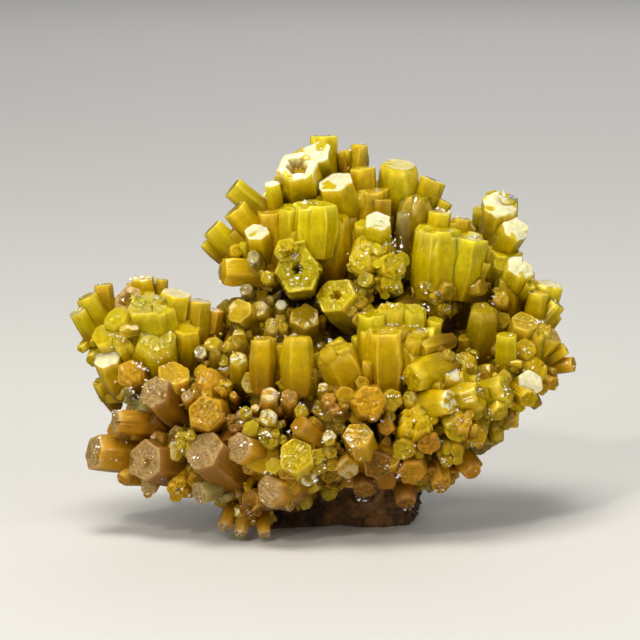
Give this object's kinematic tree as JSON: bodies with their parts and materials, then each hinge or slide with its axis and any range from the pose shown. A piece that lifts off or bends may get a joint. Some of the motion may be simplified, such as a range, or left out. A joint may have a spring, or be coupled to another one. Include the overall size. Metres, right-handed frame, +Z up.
{
  "type": "pyromorphite specimen",
  "caption": "Natural cluster of yellow-green to brown hexagonal pyromorphite prisms in intergrown sprays on a brown, iron-stained matrix with a flat broken base.",
  "frame": {"origin": "middle of the footprint box, on the surface that the flat broken base rests on", "axes": "+Z up, -Y towards the side that the picture shows, +X to that viewer's right, along the longest side"},
  "size_m": [0.0506, 0.0304, 0.0382],
  "materials": {
    "iron_stained_rock": "rough, earthy, with sparkling fine crystals in its pits",
    "yellow_green_pyromorphite": "translucent, resinous to glassy faces, striated sides, grainy or mirror-bright ends",
    "brown_pyromorphite": "translucent orange-brown sides, dull tan ends"
  },
  "bodies": {
    "root": {"matrix": "iron_stained_rock", "crown_spray": "yellow_green_pyromorphite", "left_spray": "yellow_green_pyromorphite", "right_spray": "yellow_green_pyromorphite", "front_row": "yellow_green_pyromorphite", "brown_crystals": "brown_pyromorphite"}
  },
  "joints": []
}
